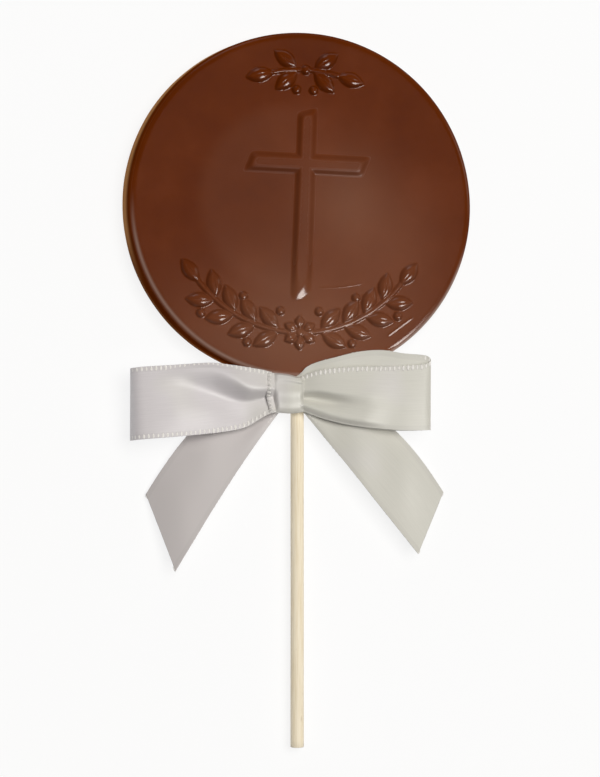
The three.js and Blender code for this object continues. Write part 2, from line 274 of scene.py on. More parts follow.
def milk_chocolate():
    """Tempered milk chocolate set against a polished mould: an even warm brown with a soft gloss,
    faint paler clouds of painted reflection haze, a wall painted paler where light falls on it, a lip
    painted paler for scuffing and the light it catches, and painted highlights along the rim."""
    material, tree, shader = new_material("milk_chocolate_moulded", {"IOR": 1.45})
    clouds = mottling(tree, 18, 4, roughness=0.55)
    brown = add_node(
        tree,
        "ShaderNodeValToRGB",
        links={"Fac": clouds},
        stops=[(0.3, "#562104"), (0.55, "#5e2604"), (0.8, "#682d0d")],
    )
    colour = brown.outputs["Color"]
    # Each mark lies over the ones before it: painted reflection haze, then the painted lit wall with the
    # pale lip for scuffing and light, then painted highlights on the rim
    for mark, tint in (("painted_haze", "#956850"), ("scuff_and_light", "#c08a58"), ("painted_highlight", "#b49f94")):
        strength = add_node(tree, "ShaderNodeAttribute", {"attribute_name": mark})
        marked = add_node(
            tree,
            "ShaderNodeMix",
            {"data_type": "RGBA"},
            values={COLOUR_B: linear(tint)},
            links={SHARE: strength.outputs["Fac"], COLOUR_A: colour},
        )
        colour = marked.outputs[MIXED_COLOUR]
    tree.links.new(colour, shader.inputs["Base Color"])
    # Gloss breaks up over about 3 mm
    gloss = add_node(
        tree,
        "ShaderNodeMapRange",
        values={"To Min": 0.17, "To Max": 0.22},
        links={"Value": mottling(tree, 3, 3)},
    )
    # The side wall slid along the mould as it came out, so it is dull
    matt = add_node(tree, "ShaderNodeAttribute", {"attribute_name": "matt"})
    dulled = add_node(
        tree,
        "ShaderNodeMix",
        values={NUMBER_B: 0.6},
        links={SHARE: matt.outputs["Fac"], NUMBER_A: gloss.outputs["Result"]},
    )
    tree.links.new(dulled.outputs[MIXED_NUMBER], shader.inputs["Roughness"])
    shine = add_node(
        tree,
        "ShaderNodeMapRange",
        values={"To Min": 0.5, "To Max": 0.0},
        links={"Value": matt.outputs["Fac"]},
    )
    tree.links.new(shine.outputs["Result"], shader.inputs["Specular IOR Level"])
    # A fine grain of about 0.5 mm
    grain = add_node(
        tree,
        "ShaderNodeBump",
        values={"Strength": 0.12, "Distance": 0.05 * MM},
        links={"Height": mottling(tree, 0.5, 3)},
    )
    tree.links.new(grain.outputs["Normal"], shader.inputs["Normal"])
    return material


def birch_wood():
    """Turned birch dowel, sanded and left bare: pale cream with fine darker grain along it."""
    material, tree, shader = new_material(
        "birch_dowel_sanded", {"IOR": 1.5, "Roughness": 0.55, "Specular IOR Level": 0.35}
    )
    # Grain streaks about 0.35 mm wide and 12 mm long
    streaks = mottling(tree, 0.35, 3, stretch=(1, 0.03, 1), roughness=0.6)
    cream = add_node(
        tree,
        "ShaderNodeValToRGB",
        links={"Fac": streaks},
        stops=[(0.3, "#e9d9b8"), (0.5, "#f6e9cf"), (0.75, "#fbf1da")],
    )
    # A few darker marks, about 2 mm wide and 5 mm long
    mark_share = add_node(
        tree,
        "ShaderNodeMapRange",
        values={"From Min": 0.68, "From Max": 0.78, "To Min": 0.0, "To Max": 0.5},
        links={"Value": mottling(tree, 2.2, 2, stretch=(1, 0.4, 1))},
    )
    marked = add_node(
        tree,
        "ShaderNodeMix",
        {"data_type": "RGBA"},
        values={COLOUR_B: linear("#a88c68")},
        links={SHARE: mark_share.outputs["Result"], COLOUR_A: cream.outputs["Color"]},
    )
    tree.links.new(marked.outputs[MIXED_COLOUR], shader.inputs["Base Color"])
    bump = add_node(
        tree,
        "ShaderNodeBump",
        values={"Strength": 0.25, "Distance": 0.04 * MM},
        links={"Height": streaks},
    )
    tree.links.new(bump.outputs["Normal"], shader.inputs["Normal"])
    return material


def satin():
    """White polyester satin: long warp floats give a soft sheen that runs across the ribbon. Its colour
    holds painted light: a cool to warm tint across the bow, and painted shade on one tail and on the
    bound edges.
    """
    material, tree, shader = new_material(
        "polyester_satin_woven",
        {
            "IOR": 1.55,
            "Roughness": 0.5,
            "Specular IOR Level": 0.7,
            "Anisotropic": 0.5,
            "Anisotropic Rotation": 0.25,
            "Sheen Weight": 0.15,
            "Sheen Roughness": 0.4,
        },
    )
    uv = add_node(tree, "ShaderNodeUVMap", {"uv_map": "ribbon"})
    # Warp threads every 0.3 mm, drawn coarser than the real 0.12 mm so that they show
    mapping = add_node(
        tree,
        "ShaderNodeMapping",
        values={"Scale": (1 / (9 * MM), 1 / (0.3 * MM), 1)},
        links={"Vector": uv.outputs["UV"]},
    )
    threads = add_node(
        tree,
        "ShaderNodeTexNoise",
        values={"Scale": 1.0, "Detail": 3.0, "Roughness": 0.6},
        links={"Vector": mapping.outputs["Vector"]},
    )
    tints = [
        add_node(
            tree,
            "ShaderNodeValToRGB",
            links={"Fac": threads.outputs["Fac"]},
            stops=list(zip((0.25, 0.5, 0.75), whites)),
        )
        for whites in (("#d0cbcd", "#d4cfd1", "#d8d3d5"), ("#cccac1", "#d0cec5", "#d4d2c9"))
    ]
    # Painted light: the colour turns from a cool white on the left to a warmer one on the right, as cool
    # and warm light would tint it, in soft patches of some 15 mm
    place = add_node(tree, "ShaderNodeTexCoord")
    where = add_node(tree, "ShaderNodeSeparateXYZ", links={"Vector": place.outputs["Object"]})
    shifted = add_node(
        tree,
        "ShaderNodeMath",
        {"operation": "MULTIPLY_ADD"},
        values={1: PATCH_SHIFT * MM},
        links={0: mottling(tree, 15, 1), 2: where.outputs["X"]},
    )
    light_warmth = add_node(
        tree,
        "ShaderNodeMapRange",
        values={
            "From Min": (COOL_LIGHT_X + PATCH_SHIFT / 2) * MM,
            "From Max": (WARM_LIGHT_X + PATCH_SHIFT / 2) * MM,
        },
        links={"Value": shifted.outputs["Value"]},
    )
    light_tinted = add_node(
        tree,
        "ShaderNodeMix",
        {"data_type": "RGBA"},
        links={
            SHARE: light_warmth.outputs["Result"],
            COLOUR_A: tints[0].outputs["Color"],
            COLOUR_B: tints[1].outputs["Color"],
        },
    )
    # Painted shade: a strip marked for it, the left tail, is darkened toward a greyer white
    painted_tail_shade = add_node(tree, "ShaderNodeAttribute", {"attribute_name": "painted_tail_shade"})
    tail_shaded = add_node(
        tree,
        "ShaderNodeMix",
        {"data_type": "RGBA"},
        values={COLOUR_B: linear("#c6c0bf")},
        links={SHARE: painted_tail_shade.outputs["Fac"], COLOUR_A: light_tinted.outputs[MIXED_COLOUR]},
    )
    # Painted shade: the bound edge is darkened for the shade between its stitches, over the selvage's
    # real width
    sides = add_node(tree, "ShaderNodeSeparateXYZ", links={"Vector": uv.outputs["UV"]})
    middle = RIBBON_WIDTH / 2 * MM
    off_middle = add_node(
        tree,
        "ShaderNodeMath",
        {"operation": "SUBTRACT"},
        values={1: middle},
        links={0: sides.outputs["Y"]},
    )
    reach = add_node(
        tree, "ShaderNodeMath", {"operation": "ABSOLUTE"}, links={0: off_middle.outputs["Value"]}
    )
    stitch_shade_share = add_node(
        tree,
        "ShaderNodeMapRange",
        values={
            "From Min": middle - SELVAGE_WIDTH * MM,
            "From Max": middle - 0.8 * SELVAGE_WIDTH * MM,
            "To Max": 0.14,
        },
        links={"Value": reach.outputs["Value"]},
    )
    bound = add_node(
        tree,
        "ShaderNodeMix",
        {"data_type": "RGBA"},
        values={COLOUR_B: linear("#a8a4a2")},
        links={SHARE: stitch_shade_share.outputs["Result"], COLOUR_A: tail_shaded.outputs[MIXED_COLOUR]},
    )
    tree.links.new(bound.outputs[MIXED_COLOUR], shader.inputs["Base Color"])
    bump = add_node(
        tree,
        "ShaderNodeBump",
        values={"Strength": 0.12, "Distance": 0.03 * MM},
        links={"Height": threads.outputs["Fac"]},
    )
    tree.links.new(bump.outputs["Normal"], shader.inputs["Normal"])
    tangent = add_node(tree, "ShaderNodeTangent", {"direction_type": "UV_MAP", "uv_map": "ribbon"})
    tree.links.new(tangent.outputs["Tangent"], shader.inputs["Tangent"])
    return material


def selvage_thread():
    """The same polyester, bound over the ribbon's edges: matter and a little brighter."""
    material, tree, shader = new_material(
        "polyester_selvage_stitched", {"IOR": 1.55, "Roughness": 0.5, "Sheen Weight": 0.2}
    )
    white = add_node(
        tree,
        "ShaderNodeValToRGB",
        links={"Fac": mottling(tree, 0.4, 2)},
        stops=[(0.3, "#e6e3de"), (0.7, "#f3f0ec")],
    )
    tree.links.new(white.outputs["Color"], shader.inputs["Base Color"])
    return material


# Chocolate disc


def rolled_end(reach):
    """The foot end of the shaft: steep at its foot, then rolling over softly into the crest."""
    past_foot = reach - BAR_FOOT
    share = np.clip(past_foot / SHAFT_END_LENGTH, 0, 1)
    rise = (BAR_SHOULDER - BAR_FOOT) * (1 - (1 - share) ** 2)
    past_roll = np.maximum(past_foot - SHAFT_END_LENGTH, 0)
    return BAR_FOOT + rise + np.minimum(past_foot, 0) + CREST_SLOPE * past_roll


def bar_inside(x, y, low, high, slant, is_shaft):
    """How far inside one bar of the cross a point is, in millimetres; negative outside."""
    across, along = turned(x - CROSS_X, y - CROSS_Y, CROSS_TURN)
    half = BAR_WIDTH / 2
    if is_shaft:
        half = half - BAR_TAPER * along / 2
    else:
        across, along = along, across
    sheared = along - across * slant / BAR_WIDTH
    lean = math.hypot(1, slant / BAR_WIDTH)
    low_end = (sheared - low) / lean
    if is_shaft:
        end_slope = SHAFT_END_SLANT / BAR_WIDTH
        low_end = (along - across * end_slope - low) / math.hypot(1, end_slope)
        low_end = rolled_end(low_end) - SHAFT_END_CROWN * across**2
    ends = np.minimum(low_end, (high - sheared) / lean)
    return soft_min(half - np.abs(across), ends, BAR_CORNER)


def cross_inside(x, y):
    shaft = bar_inside(x, y, -CROSS_DROP, CROSS_RISE, SHAFT_SLANT, True)
    arms = bar_inside(x, y, -LEFT_ARM, RIGHT_ARM, ARM_SLANT, False)
    return -soft_min(-shaft, -arms, CROSSING_CORNER)


def cross_height(inside):
    """Relief of the cross: an even flank with a soft foot and shoulder."""
    share = np.clip((inside - BAR_FOOT) / (BAR_SHOULDER - BAR_FOOT), -2, 3)
    above_foot = -soft_min(-share, 0 * share, FLANK_SOFTNESS)
    return CROSS_RELIEF * soft_min(above_foot, 1 + 0 * share, FLANK_SOFTNESS)


def leaf_list(spray):
    """Every leaf and petal of a spray as (x, y, turn, length, width, relief)."""
    leaf_size = (LEAF_LENGTH, LEAF_WIDTH, LEAF_RELIEF)
    leaves = []
    for direction in (1, -1):
        for pair in range(spray["pairs"]):
            angle = spray["centre"] + direction * (spray["start"] + pair * PITCH) / spray["radius"]
            heading = angle + direction * math.pi / 2
            for side in (-1, 1):
                base = on_arc(spray["radius"] + side * LEAF_OFFSET, angle)
                leaves.append((*base, heading - direction * side * SPLAY, *leaf_size))
        tip = spray["start"] + spray["pairs"] * PITCH
        angle = spray["centre"] + direction * tip / spray["radius"]
        heading = angle + direction * math.pi / 2
        leaves.append((*on_arc(spray["radius"], angle), heading, *leaf_size))
    heart_x, heart_y = on_arc(spray["radius"], spray["centre"])
    for petal in range(spray["petals"]):
        turn = spray["centre"] + petal / spray["petals"] * 2 * math.pi
        x, y = on_arc(PETAL_START, turn)
        leaves.append((heart_x + x, heart_y + y, turn, PETAL_LENGTH, PETAL_WIDTH, PETAL_RELIEF))
    return leaves


def berry_list(spray):
    """Every berry of a spray as (x, y, radius), from the one at its heart."""
    berries = [(*on_arc(spray["radius"], spray["centre"]), HEART_RADIUS)]
    for direction in (1, -1):
        for pair in range(spray["pairs"]):
            along = spray["start"] + pair * PITCH + BERRY_SHIFT
            angle = spray["centre"] + direction * along / spray["radius"]
            side = 1 if pair % 2 else -1
            reach = spray["radius"] + side * (LEAF_WIDTH + BERRY_RADIUS)
            berries.append((*on_arc(reach, angle), BERRY_RADIUS))
    return berries


LEAVES = [leaf for spray in SPRAYS for leaf in leaf_list(spray)]
BERRIES = [berry for spray in SPRAYS for berry in berry_list(spray)]


def leaf_shape(x, y, leaf):
    """Height of a leaf, a rounded mound with a shallow midrib groove, and the way inside it."""
    leaf_x, leaf_y, turn, length, width, relief = leaf
    along, across = turned(x - leaf_x, y - leaf_y, turn)
    a = np.abs(2 * along / length - 1)
    b = np.abs(across) / (width / 2)
    # 1 on the leaf's outline, less inside it and more outside
    ring = (b + np.sqrt(b * b + 4 * a * a)) / 2
    mound = relief * np.clip(1 - ring**2, 0, 1) ** 0.6
    groove = MIDRIB_DEPTH * relief * hump(across, 0, MIDRIB_WIDTH) * (1 - smooth(ring, 0.35, 0.8))
    return mound - groove, (1 - ring) * width / 2


def berry_shape(x, y, berry):
    """Height of a berry, a round dome, and the way inside it."""
    berry_x, berry_y, radius = berry
    reach = np.hypot(x - berry_x, y - berry_y)
    dome = radius * (1 - np.clip(reach / radius, 0, 1) ** 2.4) ** 0.6
    return dome, radius - reach


def stem_shape(x, y, spray):
    """A thin rounded rib along the spray's arc, tapering at its tips, and the way inside it."""
    radius = spray["radius"]
    tip = spray["start"] + spray["pairs"] * PITCH + STEM_TIP
    angle = np.arctan2(y, x) - spray["centre"]
    along = np.abs((angle + math.pi) % (2 * math.pi) - math.pi) * radius
    off = np.abs(np.hypot(x, y) - radius)
    rib = STEM_RELIEF * np.sqrt(1 - np.clip(off / STEM_HALF_WIDTH, 0, 1) ** 2)
    inside = np.minimum(STEM_HALF_WIDTH - off, tip - along)
    return rib * (1 - smooth(along, tip - 0.8, tip + 0.2)), inside


def line_marks(x, y):
    """A slight ridge near the rim and a hairline crease under the cross."""
    along = SCRAPE_TO - SCRAPE_FROM
    length = np.hypot(*along)
    direction = along / length
    way = (x - SCRAPE_FROM[0]) * direction[0] + (y - SCRAPE_FROM[1]) * direction[1]
    off = (x - SCRAPE_FROM[0]) * -direction[1] + (y - SCRAPE_FROM[1]) * direction[0]
    ends = smooth(way, -0.5, 1) * (1 - smooth(way, length - 1, length + 0.5))
    scrape = SCRAPE_RELIEF * ends * hump(off, SCRAPE_SHIFT, SCRAPE_WIDTH)
    share = (x - CREASE_FROM[0]) / (CREASE_TO[0] - CREASE_FROM[0])
    sag = CREASE_SAG * np.clip(4 * share * (1 - share), 0, 1)
    off = y - mix(CREASE_FROM[1], CREASE_TO[1], share) + sag
    ends = smooth(share, 0, 0.15) * (1 - smooth(share, 0.8, 1))
    return scrape + CREASE_RELIEF * hump(off, 0, CREASE_WIDTH) * ends


def relief_height(x, y):
    """Everything raised over the face, and how far inside the nearest raised shape a point is."""
    inside = cross_inside(x, y)
    height = cross_height(inside)
    nearest = inside + 0.2
    shapes = [leaf_shape(x, y, leaf) for leaf in LEAVES]
    shapes += [berry_shape(x, y, berry) for berry in BERRIES]
    shapes += [stem_shape(x, y, spray) for spray in SPRAYS]
    for more, more_inside in shapes:
        height = np.maximum(height, more)
        nearest = np.maximum(nearest, more_inside)
    return height, nearest


def from_centre(x, y):
    return np.hypot(x - FRONT_X, y - FRONT_Y)


def in_dish(x, y, slope_inside, slope_outside):
    """1 inside the dish and 0 outside it, with a soft slope over its edge."""
    reach = np.hypot(x - DISH_X, y - DISH_Y)
    return 1 - smooth(reach, DISH_RADIUS - slope_inside, DISH_RADIUS + slope_outside)


def ground_height(x, y):
    """The face without its relief: the shallow dish and the slight waves of a real casting."""
    waves = BROAD_WAVE * np.sin(x / 8.5 + 0.9) * np.cos(y / 11.5 - 0.4)
    waves += FINE_WAVE * np.sin((x + 1.4 * y) / 6.3)
    waves *= 1 - smooth(from_centre(x, y), FACE_RADIUS - 5, FACE_RADIUS)
    return waves - DISH_DEPTH * in_dish(x, y, DISH_SLOPE_INSIDE, DISH_SLOPE_OUTSIDE)


def face_height(x, y):
    return FACE_Z + ground_height(x, y) + relief_height(x, y)[0] + line_marks(x, y)


def hex_lattice(spacing, radius):
    """Points of a triangular lattice inside a circle about the disc's centre."""
    rows = int(radius / (spacing * ROW_SHARE)) + 1
    columns = int(radius / spacing) + 1
    j, i = np.mgrid[-rows : rows + 1, -columns : columns + 1]
    x = (i + 0.5 * (j % 2)) * spacing
    y = j * spacing * ROW_SHARE
    keep = from_centre(x, y) < radius
    return x[keep], y[keep]


def face_points():
    """Sample points of the face: close together on relief, wide apart on the plain ground, and
    closest on the fine line marks."""
    fine = hex_lattice(FINE_SPACING, FACE_RADIUS - 0.3)
    _, nearest = relief_height(*fine)
    is_crest = cross_inside(*fine) > BAR_SHOULDER + 0.3
    on_relief = (nearest > -1.0) & ~is_crest
    coarse = hex_lattice(COARSE_SPACING, FACE_RADIUS - 0.6)
    _, nearest = relief_height(*coarse)
    on_ground = (nearest < -1.2) | (cross_inside(*coarse) > BAR_SHOULDER + 0.5)
    close = hex_lattice(MARK_SPACING, FACE_RADIUS - 0.3)
    on_marks = np.abs(line_marks(*close)) > 0.004
    chosen = [(fine, on_relief), (coarse, on_ground), (close, on_marks)]
    return [np.concatenate([points[axis][mask] for points, mask in chosen]) for axis in (0, 1)]


def disc_profile():
    """The disc from its face's edge down the wall and over its back: each ring's (radius, height,
    wobble)."""
    profile = [(FACE_RADIUS, FACE_Z, 0)]
    for step in range(1, EDGE_STEPS + 1):
        angle = math.pi / 2 * (1 - step / EDGE_STEPS)
        height = FACE_Z - EDGE_DROP * (1 - math.sin(angle))
        profile.append((FACE_RADIUS + EDGE_ROUNDING * math.cos(angle), height, 0))
    for share in (0.2, 0.4, 0.6, 0.8, 1.0):
        height = mix(FACE_Z - EDGE_DROP, LIP_HEIGHT + LIP_SLOPE, share)
        profile.append((mix(FRONT_RADIUS, WALL_RADIUS, share), height, 0))
    profile += [
        (OUTER_RADIUS - 0.12, LIP_HEIGHT, 0.03),
        (OUTER_RADIUS - 0.04, LIP_HEIGHT - LIP_SLOPE, 0.03),
        (OUTER_RADIUS - 0.03, BACK_ROUNDING, 0.02),
        (OUTER_RADIUS - 0.12, 0.1, 0.02),
        (OUTER_RADIUS - BACK_ROUNDING - 0.05, 0, 0),
    ]
    return profile + [(radius, 0, 0) for radius in (40, 30, 20, 10, 3)]


def rim_ring(radius, z, wobble):
    """One ring of points round the disc; the lip wanders, and the wall leans a little to a side."""
    angle = np.arange(RIM_POINTS) / RIM_POINTS * 2 * math.pi
    wander = np.sin(5 * angle + 1) + 0.6 * np.sin(13 * angle) + 0.4 * np.sin(29 * angle + 2)
    r = radius + wobble * wander
    share = z / FACE_Z
    x = mix(BACK_X, FRONT_X, share) + r * np.cos(angle)
    y = mix(BACK_Y, FRONT_Y, share) + r * np.sin(angle)
    return np.stack([x, y, np.full(RIM_POINTS, z, float)], axis=1)


def chocolate_disc(material):
    """The whole moulding: face with relief, rounded edge, drafted wall, lip and flat back."""
    rings = [rim_ring(*ring) for ring in disc_profile()]
    plan = [Vector(p) for p in rings[0][:, :2]] + [Vector(p) for p in zip(*face_points())]
    placed, _, triangles, _, _, _ = delaunay_2d_cdt(plan, [], [], 0, 1e-7)
    x, y = np.array([tuple(p) for p in placed[RIM_POINTS:]]).T
    face = np.stack([x, y, face_height(x, y)], axis=1)
    points = np.concatenate([rings[0], face] + rings[1:] + [np.array([[BACK_X, BACK_Y, 0.0]])])
    faces = [list(t) for t in triangles]
    starts = [0] + [RIM_POINTS + len(face) + i * RIM_POINTS for i in range(len(rings) - 1)]
    for upper, lower in zip(starts, starts[1:]):
        for i in range(RIM_POINTS):
            j = (i + 1) % RIM_POINTS
            faces.append([upper + j, upper + i, lower + i, lower + j])
    centre = len(points) - 1
    faces += [[starts[-1] + (i + 1) % RIM_POINTS, starts[-1] + i, centre] for i in range(RIM_POINTS)]
    mesh = new_mesh("moulded_chocolate", points, faces)
    mesh.materials.append(material)
    mark_surface(mesh, points)
    return new_piece("moulded_chocolate", mesh, "chocolate_disc")


def mark_surface(mesh, points):
    """Where the chocolate is dull from the mould's wall, and where painted light lies on it: a paler lit
    wall, a pale lip for scuffing and light, painted highlights and painted reflection haze.
    """
    x, y, height = points.T
    reach, azimuth = from_centre(x, y), np.arctan2(y - FRONT_Y, x - FRONT_X)

    def along(stretch):
        direction, spread, gain = stretch
        off = azimuth - math.radians(direction)
        return np.minimum(gain * smooth(np.cos(off), math.cos(math.radians(spread)), 1), 1)

    # Painted light: the wall's upper-left stretch is painted paler where light falls on it; the lip is
    # painted paler all round for scuffing and the light it catches
    on_wall = (reach > FACE_RADIUS + EDGE_ROUNDING * 0.75) & (height < FACE_Z - 0.5)
    on_lip = (reach > OUTER_RADIUS - 0.35) & (height < LIP_HEIGHT + 0.3)
    low_wall = np.where(on_wall, 1 - smooth(height, 2.5, 7.5), 0.0)
    scuff_and_light = WALL_LIGHT * along(LIT_WALL_STRETCH) * low_wall
    set_point_values(mesh, "scuff_and_light", np.maximum(scuff_and_light, np.where(on_lip, LIP_SCUFF_AND_LIGHT, 0.0)))

    # The cutter left the flanks of the arms less polished than the rest of the mould
    above_end = smooth(y, CROSS_Y - CROSS_DROP, CROSS_Y - 12)
    flank = FLANK_DULLNESS * above_end * hump(cross_inside(x, y), FLANK_PLACE, FLANK_SPREAD)
    flank = np.where(height > FACE_Z - 0.5, flank, 0.0)
    set_point_values(mesh, "matt", np.where(on_wall, 1.0, flank))

    # Painted highlights: a thin pale line on the edge's rounding at the lower left and a broad pale band
    # on the rim at the lower right
    past_face = reach - FACE_RADIUS
    inner_line = hump(past_face, INNER_LINE, INNER_LINE_WIDTH) * along(INNER_STRETCH)
    outer_band = smooth(past_face, OUTER_BAND_START, OUTER_BAND_FULL) * along(OUTER_STRETCH)
    inner_highlight_line = np.where(height > FACE_Z - 1.5, INNER_HIGHLIGHT * inner_line, 0.0)
    outer_highlight_band = np.where(height > LIP_HEIGHT + 0.8, OUTER_HIGHLIGHT * outer_band, 0.0)
    set_point_values(mesh, "painted_highlight", np.maximum(inner_highlight_line, outer_highlight_band))

    # Painted reflection haze: pale clouds on the face, and more in the dish's left, stand in for the
    # glow of the lights
    painted_haze = DISH_HAZE * in_dish(x, y, 4, 1.5) * (1 - smooth(x, -8, 12))
    for cloud_x, cloud_y, wide, high, strength in HAZE_CLOUDS:
        painted_haze = painted_haze + strength * hump(x, cloud_x, wide) * hump(y, cloud_y, high)
    set_point_values(mesh, "painted_haze", np.where(height > FACE_Z - 1, np.clip(painted_haze, 0, 1), 0.0))


# Stick


def wooden_stick(material):
    """A dowel with a small chamfer at each end and the faint unevenness of a turned stick."""
    low, high = STICK_LOW[1], STICK_HIGH[1]
    stations = [(low, STICK_RADIUS - STICK_CHAMFER)]
    for y in np.linspace(low + STICK_CHAMFER, high - STICK_CHAMFER, STICK_STATIONS):
        stations.append((y, STICK_RADIUS))
    stations.append((high, STICK_RADIUS - STICK_CHAMFER))
    angle = np.arange(STICK_SIDES) / STICK_SIDES * 2 * math.pi
    points = []
    for y, radius in stations:
        uneven = 1 + 0.008 * np.sin(3 * angle + y / 9) + 0.006 * math.sin(y / 13)
        r = radius * np.minimum(uneven, 1.0)
        ring = [r * np.cos(angle), np.full(STICK_SIDES, y), STICK_AXIS_Z + r * np.sin(angle)]
        points += list(np.stack(ring, axis=1))
    faces = []
    for start in range(0, (len(stations) - 1) * STICK_SIDES, STICK_SIDES):
        for i in range(STICK_SIDES):
            a, b = start + i, start + (i + 1) % STICK_SIDES
            faces.append([a, a + STICK_SIDES, b + STICK_SIDES, b])
    faces.append(list(range(STICK_SIDES)))
    faces.append([len(points) - 1 - i for i in range(STICK_SIDES)])
    mesh = new_mesh("birch_stick", points, faces)
    mesh.materials.append(material)
    return new_piece("birch_stick", mesh, "stick")


# Ribbon bow. Lines run along the ribbon; every line of a strip has the same number of points.

# Both edges of each loop, from under the knot along the front, round the fold and back behind.
# folds are the shoulder, pleat and ridge of the front at its first points, as (share across,
# height), and back is how far the layer behind is lifted and where across it.
LEFT_LOOP = {
    "top": [
        (-3.5, -44.8, 7.6), (-6.5, -43.9, 8.6), (-9.0, -43.1, 10.1), (-13.8, -42.3, 11.2),
        (-18.3, -41.7, 11.7), (-23.7, -41.2, 12.0), (-31.7, -41.7, 12.2), (-39.8, -42.2, 12.1),
        (-42.9, -42.5, 11.4), (-43.8, -42.7, 9.2), (-42.3, -42.7, 7.0), (-38.0, -42.5, 6.3),
        (-29.0, -42.3, 6.0), (-19.5, -42.8, 5.9), (-11.0, -43.8, 6.0), (-3.5, -45.4, 6.2),
    ],
    "bottom": [
        (-3.5, -52.8, 7.4), (-6.5, -53.5, 7.7), (-8.9, -54.6, 7.7), (-13.7, -57.4, 7.4),
        (-18.2, -58.5, 8.3), (-24.6, -59.3, 9.7), (-32.3, -60.0, 10.8), (-38.8, -60.5, 11.1),
        (-42.2, -60.8, 10.2), (-43.6, -61.0, 6.8), (-41.3, -60.6, 4.2), (-36.5, -60.1, 4.2),
        (-28.0, -59.5, 5.0), (-18.5, -58.3, 5.6), (-10.5, -55.3, 5.8), (-3.5, -52.4, 5.8),
    ],
    "folds": [
        ((0.38, 7.6), (0.62, 7.2), (0.80, 7.4)),
        ((0.38, 8.9), (0.61, 7.8), (0.80, 7.8)),
        ((0.37, 10.7), (0.62, 7.6), (0.80, 7.6)),
        ((0.31, 12.1), (0.60, 7.4), (0.80, 7.2)),
        ((0.18, 12.9), (0.54, 8.0), (0.76, 8.1)),
        ((0.09, 12.8), (0.44, 9.5), (0.68, 10.0)),
        ((0.06, 12.6), (0.31, 11.3), (0.60, 11.6)),
        ((0.12, 12.1), (0.34, 12.1), (0.65, 11.9)),
    ],
    "back": (0.0, 0.5),
}
RIGHT_LOOP = {
    "top": [
        (-2.5, -45.4, 7.8), (-0.6, -44.7, 8.6), (0.8, -44.2, 9.6), (4.1, -43.1, 10.8),
        (8.8, -42.4, 11.4), (14.7, -42.0, 11.6), (21.9, -41.9, 11.6), (27.7, -41.6, 11.6),
        (31.9, -41.2, 11.5), (33.6, -40.2, 11.2), (32.3, -39.0, 10.9), (26.5, -38.5, 10.8),
        (21.0, -37.7, 10.7), (15.0, -38.1, 10.6), (8.3, -39.7, 10.4), (4.0, -40.9, 10.1),
        (1.3, -42.2, 9.8), (-0.2, -43.9, 9.0), (-2.5, -45.2, 7.4),
    ],
    "bottom": [
        (-2.5, -52.6, 7.4), (-0.8, -53.0, 7.7), (0.7, -53.4, 7.9), (3.7, -54.6, 8.3),
        (7.5, -55.8, 8.9), (12.4, -56.9, 9.4), (18.3, -57.7, 10.0), (25.6, -58.3, 10.5),
        (31.6, -58.3, 10.2), (33.9, -58.2, 9.4), (31.6, -58.3, 8.8), (26.0, -58.4, 8.9),
        (20.0, -57.9, 8.5), (14.0, -57.2, 8.0), (9.0, -56.2, 7.6), (5.0, -55.0, 7.2),
        (2.0, -53.9, 7.0), (0.0, -53.2, 7.0), (-2.5, -52.4, 7.0),
    ],
    "folds": [
        ((0.40, 7.8), (0.64, 7.5), (0.78, 7.7)),
        ((0.42, 8.7), (0.64, 7.6), (0.78, 8.4)),
        ((0.42, 9.7), (0.65, 7.8), (0.82, 9.3)),
        ((0.42, 10.7), (0.63, 8.0), (0.85, 9.9)),
        ((0.45, 11.3), (0.64, 8.9), (0.88, 10.5)),
        ((0.46, 11.6), (0.66, 10.6), (0.89, 11.0)),
        ((0.46, 11.7), (0.66, 11.5), (0.89, 11.3)),
        ((0.46, 11.6), (0.66, 11.5), (0.89, 11.1)),
    ],
    "back": (0.7, 0.2),
}
# Edges of the tails as cubic curves from the knot to the slanting cut, and their soft bumps as
# (place along, place across, height)
LEFT_TAIL = {
    "inner": [(-4, -52.4, 4.6), (-16, -68, 4.6), (-24, -81, 7.4), (-31.9, -94.3, 6.2)],
    "outer": [(-4, -47.0, 3.6), (-18.8, -46.4, 4.0), (-28.6, -57.2, 4.4), (-39, -74.7, 1.2)],
    "waves": [(0.35, 0.8, 0.5), (0.55, 0.75, 0.8), (0.85, 0.4, 0.6)],
}
RIGHT_TAIL = {
    "inner": [(-0.6, -51.6, 6.6), (10, -64, 6.6), (21, -78, 7.6), (31.3, -90.3, 6.2)],
    "outer": [(-0.6, -47.0, 6.4), (12, -46.2, 6.6), (24.4, -54.0, 7.2), (39, -74.4, 1.2)],
    "waves": [(0.46, 0.45, 1.3), (0.8, 0.75, 1.4)],
}
# The knot's band seen from its side: a closed line round the loops' roots, as (y, z)
KNOT_RING = [
    (-44.2, 10.7), (-45.1, 10.9), (-46.3, 10.5), (-47.4, 10.6), (-48.4, 10.6), (-49.6, 10.3),
    (-51.2, 9.6), (-52.8, 9.0), (-53.7, 7.9), (-53.4, 5.2), (-51.0, 3.2), (-47.0, 3.2),
    (-44.6, 4.8), (-43.7, 8.0),
]


def curve_through(points, steps):
    """A smooth line through the points, with the same number of steps between each two."""
    p = np.asarray(points, float)
    p = np.concatenate([[2 * p[0] - p[1]], p, [2 * p[-1] - p[-2]]])
    t = np.linspace(0, 1, steps, endpoint=False)[:, None]
    runs = []
    for a, b, c, d in zip(p, p[1:], p[2:], p[3:]):
        cubic = 2 * b + (c - a) * t + (2 * a - 5 * b + 4 * c - d) * t**2
        runs.append((cubic + (3 * b - a - 3 * c + d) * t**3) / 2)
    return np.concatenate(runs + [p[-2:-1]])


def bezier(points, t):
    p, t = np.array(points, float), t[:, None]
    return (1 - t) ** 3 * p[0] + 3 * (1 - t) ** 2 * t * p[1] + 3 * (1 - t) * t**2 * p[2] + t**3 * p[3]


